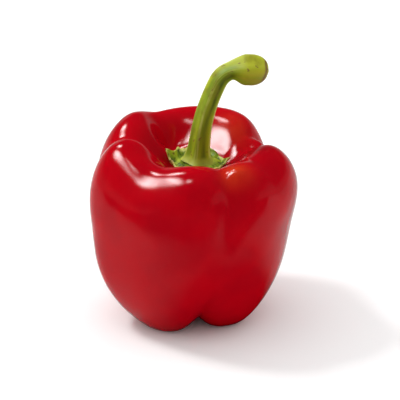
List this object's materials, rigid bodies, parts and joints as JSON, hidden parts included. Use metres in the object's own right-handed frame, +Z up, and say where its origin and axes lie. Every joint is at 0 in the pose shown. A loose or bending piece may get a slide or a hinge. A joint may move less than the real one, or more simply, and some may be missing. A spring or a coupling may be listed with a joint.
{
  "type": "bell pepper",
  "caption": "Ripe red bell pepper with a lobed glossy body, a ruffled green calyx in its hollow top and a bent ribbed stem; stands upright on the feet of its lobes.",
  "frame": {"origin": "on the surface that the pepper stands on, under the middle of its outline seen from above", "axes": "+Z up, close to the fruit's own axis; the stem bends towards +X, and the widest lobe faces between -X and -Y"},
  "size_m": [0.0831, 0.0846, 0.1099],
  "materials": {
    "skin": "deep red fruit skin, very smooth and waxy, with sharp reflections",
    "calyx": "bright green leafy star, dimpled and ribbed, satin, with paler edges",
    "stalk": "yellow-green ribbed stalk, satin, with small brown specks and a dry brown-rimmed cut end"
  },
  "bodies": {
    "root": {"fruit": "skin", "calyx": "calyx", "stem": "stalk"}
  },
  "joints": []
}
